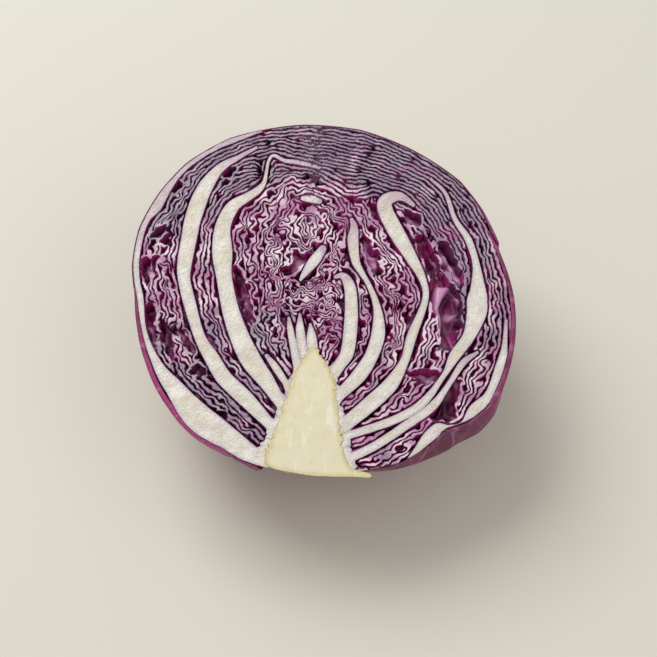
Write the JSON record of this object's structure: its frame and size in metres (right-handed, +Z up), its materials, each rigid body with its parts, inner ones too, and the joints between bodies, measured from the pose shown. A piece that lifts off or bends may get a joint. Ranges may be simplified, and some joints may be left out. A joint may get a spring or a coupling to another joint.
{
  "type": "halved red cabbage",
  "caption": "Half of a red cabbage head, cut lengthwise through the core and lying on its round back, with ribbed and crumpled leaves in layers.",
  "frame": {"origin": "middle of the bounding box on the resting level", "axes": "+Z up, +Y from the stem towards the head's top, +X to the right as the cut face is seen from the stem side"},
  "size_m": [0.1626, 0.1586, 0.09],
  "materials": {
    "core": "wet, pale yellow cut stem",
    "outer_leaf": "waxy purple skin with pale veins and cream cut rib",
    "inner_leaf": "pale cut leaf with purple skins and cream ribs",
    "young_leaf": "cream cut rib",
    "heart_leaf": "lilac cut leaf with purple skins"
  },
  "bodies": {
    "root": {"core": "core", "wrapper_left": "outer_leaf", "wrapper_under": "outer_leaf", "wrapper_right": "outer_leaf", "leaf_right_1": "inner_leaf", "leaf_left_1": "inner_leaf", "leaf_back_1": "inner_leaf", "leaf_right_2": "inner_leaf", "leaf_left_2": "inner_leaf", "leaf_back_2": "inner_leaf", "leaf_right_3": "inner_leaf", "leaf_back_3": "inner_leaf", "leaf_back_4": "inner_leaf", "leaf_right_4": "inner_leaf", "young_leaf_1": "young_leaf", "young_leaf_2": "young_leaf", "young_leaf_3": "young_leaf", "young_leaf_4": "young_leaf", "heart_leaf_1": "heart_leaf", "heart_leaf_2": "heart_leaf", "heart_leaf_3": "heart_leaf", "heart_leaf_4": "heart_leaf", "heart_leaf_5": "heart_leaf", "heart_bud": "heart_leaf"}
  },
  "joints": []
}
